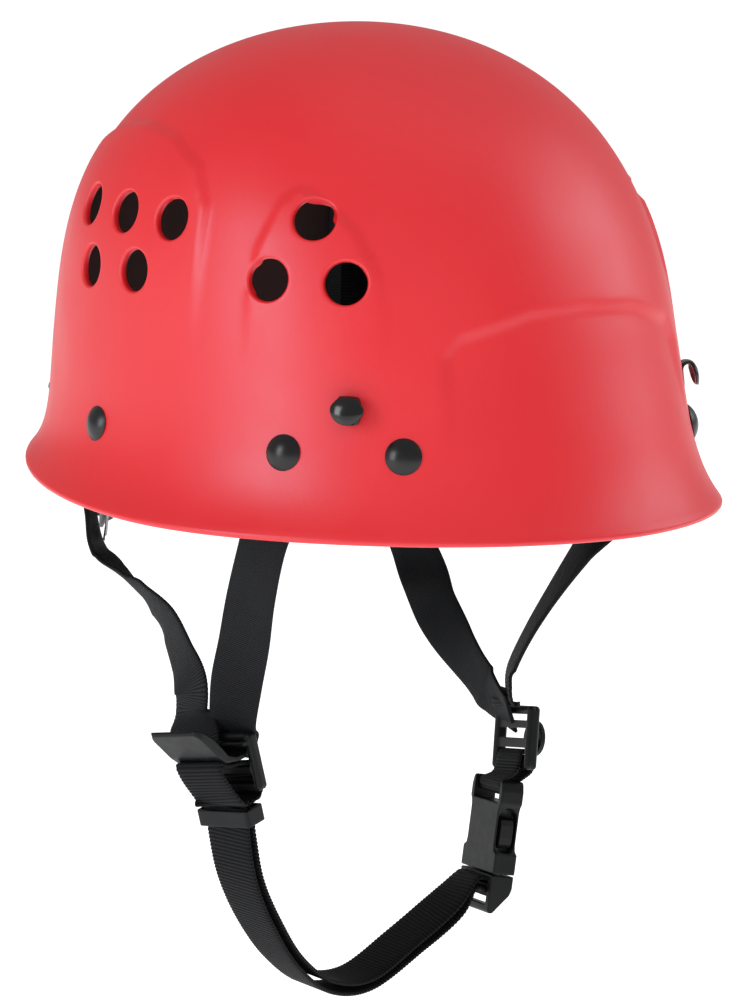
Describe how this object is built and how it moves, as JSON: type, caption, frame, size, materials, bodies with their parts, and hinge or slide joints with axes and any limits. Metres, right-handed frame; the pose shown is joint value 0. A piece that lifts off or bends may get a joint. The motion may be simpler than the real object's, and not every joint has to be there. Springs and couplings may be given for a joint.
{
  "type": "climbing helmet",
  "caption": "Hard-shell climbing helmet with round vents, headlamp clips, textile cradle, nape size dial and an adjustable chin harness with a side-release buckle.",
  "frame": {"origin": "centre of the head opening, at the level of the shell's rim", "axes": "+Z towards the crown, -Y towards the brow, -X towards the wearer's right side"},
  "size_m": [0.244, 0.2759, 0.3684],
  "materials": {
    "shell": "finely grained, satin",
    "rivet": "smooth, slightly glossy",
    "washer": "moulded",
    "clip": "black coated spring steel",
    "webbing": "woven polyester with cross ribs",
    "padding": "foam under knitted cloth",
    "band": "flexible polyethylene",
    "hard_plastic": "moulded acetal",
    "label": "thin woven label"
  },
  "bodies": {
    "helmet": {"shell": "shell", "rivets": "rivet", "rivet_washers": "washer", "lamp_clips_front": "clip", "lamp_clips_rear": "clip", "crown_strap_right_brow": "webbing", "crown_strap_left_brow": "webbing", "crown_strap_side": "webbing", "crown_pad": "padding", "headband": "band", "hanger_tabs": "band", "brow_pad": "padding", "nape_pad": "padding", "nape_band_right": "band", "nape_band_left": "band", "nape_housing": "hard_plastic", "care_label": "label", "strap_front_right": "webbing", "strap_rear_right": "webbing", "strap_front_left": "webbing", "strap_rear_left": "webbing"},
    "nape_dial": {"nape_dial": "hard_plastic"},
    "nape_rack_right": {"nape_rack_right": "band"},
    "nape_rack_left": {"nape_rack_left": "band"},
    "harness": {"chin_strap": "webbing", "chin_strap_return": "webbing", "link_strap_left": "webbing", "buckle_socket": "hard_plastic"},
    "adjuster_right": {"adjuster_right": "hard_plastic"},
    "adjuster_left": {"adjuster_left": "hard_plastic"},
    "keeper": {"strap_keeper": "hard_plastic"},
    "buckle_plug": {"buckle_plug": "hard_plastic"},
    "prong_front": {"buckle_prong_front": "hard_plastic"},
    "prong_rear": {"buckle_prong_rear": "hard_plastic"}
  },
  "joints": [
    {"name": "harness_swing", "type": "hinge", "parent": "helmet", "child": "harness", "pos_m": [0, -0.016, 0.022], "axis": [1, 0, 0], "range_deg": [-25, 25], "deforming": ["strap_front_right", "strap_rear_right", "strap_front_left", "strap_rear_left"]},
    {"name": "nape_dial_turn", "type": "hinge", "parent": "helmet", "child": "nape_dial", "pos_m": [0, 0.097, -0.021], "axis": [0, 1, 0], "range_deg": [-60, 60]},
    {"name": "nape_rack_right_slide", "type": "slide", "parent": "helmet", "child": "nape_rack_right", "axis": [1, 0, 0], "range_m": [-0.0064, 0.0064], "deforming": ["nape_band_right"]},
    {"name": "nape_rack_left_slide", "type": "slide", "parent": "helmet", "child": "nape_rack_left", "axis": [-1, 0, 0], "range_m": [-0.0064, 0.0064], "deforming": ["nape_band_left"]},
    {"name": "adjuster_right_lift", "type": "hinge", "parent": "harness", "child": "adjuster_right", "pos_m": [-0.07768, -0.01961, -0.08996], "axis": [-0.2375, 0.9525, -0.1908], "range_deg": [0, 30]},
    {"name": "adjuster_left_lift", "type": "hinge", "parent": "harness", "child": "adjuster_left", "pos_m": [0.07438, -0.01826, -0.10187], "axis": [-0.2366, -0.9491, 0.2079], "range_deg": [0, 30], "deforming": ["link_strap_left"]},
    {"name": "keeper_slide", "type": "slide", "parent": "harness", "child": "keeper", "axis": [0.171, 0.0302, -0.9848], "range_m": [0, 0.01]},
    {"name": "buckle_release", "type": "slide", "parent": "harness", "child": "buckle_plug", "axis": [-0.193, -0.0667, -0.9789], "range_m": [0, 0.03], "deforming": ["chin_strap", "chin_strap_return", "buckle_prong_front", "buckle_prong_rear"]},
    {"name": "prong_front_squeeze", "type": "hinge", "parent": "buckle_plug", "child": "prong_front", "pos_m": [0.05914, -0.02562, -0.16283], "axis": [-0.9373, 0.3076, 0.1638], "range_deg": [0, 8], "stiffness_Nm_per_rad": 0.2},
    {"name": "prong_rear_squeeze", "type": "hinge", "parent": "buckle_plug", "child": "prong_rear", "pos_m": [0.06384, -0.01024, -0.16481], "axis": [0.9373, -0.3076, -0.1638], "range_deg": [0, 8], "stiffness_Nm_per_rad": 0.2}
  ],
  "couplings": [
    {"joint": "nape_rack_right_slide", "follows": "nape_dial_turn", "m_per_rad": 0.006},
    {"joint": "nape_rack_left_slide", "follows": "nape_dial_turn", "m_per_rad": 0.006},
    {"joint": "prong_rear_squeeze", "follows": "prong_front_squeeze", "ratio": 1}
  ]
}
